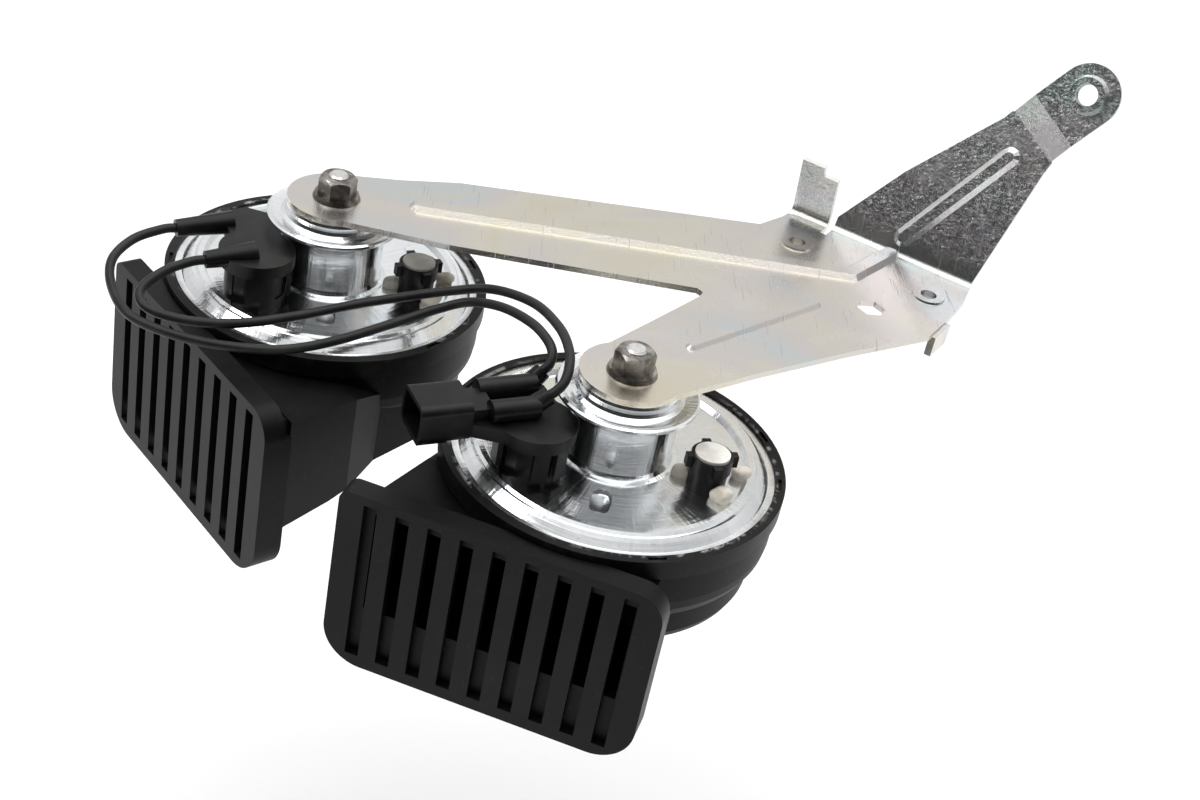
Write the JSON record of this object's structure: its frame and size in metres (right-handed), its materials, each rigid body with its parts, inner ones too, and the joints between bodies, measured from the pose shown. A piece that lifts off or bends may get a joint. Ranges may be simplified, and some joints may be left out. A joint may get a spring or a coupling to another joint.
{
  "type": "car horn",
  "caption": "Car horn: snail-shaped electric horns with black housings and slotted mouths, hung under a pressed zinc-plated bracket and joined by a black lead harness.",
  "frame": {"origin": "centre of the tapped fixing hole at the front face of the bracket's upper pad", "axes": "+Z along the horns' axes, from their trumpets to their nuts; +X runs from the left horn to the bracket's tail as pictured; +Y away from the mouths"},
  "size_m": [0.2864, 0.1808, 0.1577],
  "materials": {
    "zinc_bracket": "zinc-plated, faint iridescent passivation",
    "zinc_plate": "bright zinc-plated",
    "nut_steel": "dull brownish grey",
    "iron": "turned",
    "spring_steel": "rolled",
    "copper_wire": "enamelled",
    "brass_strip": "rolled",
    "tin_plate": "tin-plated",
    "black_plastic": "semi-gloss black",
    "black_connector": "black, lightly glossy",
    "black_lead": "black insulation",
    "grey_nylon": "moulded",
    "gasket": "cut sheet",
    "brown_laminate": "laminate",
    "cream_plastic": "cream",
    "cream_wax": "cream, slightly glossy"
  },
  "bodies": {
    "root": {"bracket": "zinc_bracket", "connector_right": "black_connector", "connector_left": "black_connector", "plug_pins": "tin_plate", "lead_outer": "black_lead", "lead_inner": "black_lead", "flange_nut_right": "nut_steel", "flange_nut_left": "nut_steel", "pot_cap_right": "zinc_plate", "pot_cap_left": "zinc_plate", "cover_plate_right": "zinc_plate", "cover_plate_left": "zinc_plate", "core_stud_right": "iron", "core_stud_left": "iron", "coil_bobbin_right": "grey_nylon", "coil_bobbin_left": "grey_nylon", "coil_winding_right": "copper_wire", "coil_winding_left": "copper_wire", "armature_right": "iron", "armature_left": "iron", "armature_rivet_right": "nut_steel", "armature_rivet_left": "nut_steel", "diaphragm_right": "spring_steel", "diaphragm_left": "spring_steel", "diaphragm_gasket_right": "gasket", "diaphragm_gasket_left": "gasket", "contact_carrier_right": "brown_laminate", "contact_carrier_left": "brown_laminate", "contact_spring_right": "brass_strip", "contact_spring_left": "brass_strip", "fixed_contact_right": "brass_strip", "fixed_contact_left": "brass_strip", "adjuster_holder_right": "black_plastic", "adjuster_holder_left": "black_plastic", "adjuster_screw_right": "brass_strip", "adjuster_screw_left": "brass_strip", "adjuster_cap_right": "cream_plastic", "adjuster_cap_left": "cream_plastic", "wax_seal_right": "cream_wax", "wax_seal_left": "cream_wax", "terminal_block_right": "black_plastic", "terminal_block_left": "black_plastic", "terminal_blades_right": "tin_plate", "terminal_blades_left": "tin_plate", "receptacles_right": "tin_plate", "receptacles_left": "tin_plate", "trumpet_cover_right": "black_plastic", "trumpet_cover_left": "black_plastic", "trumpet_body_right": "black_plastic", "trumpet_body_left": "black_plastic", "mouth_grille_right": "black_plastic", "mouth_grille_left": "black_plastic"}
  },
  "joints": []
}
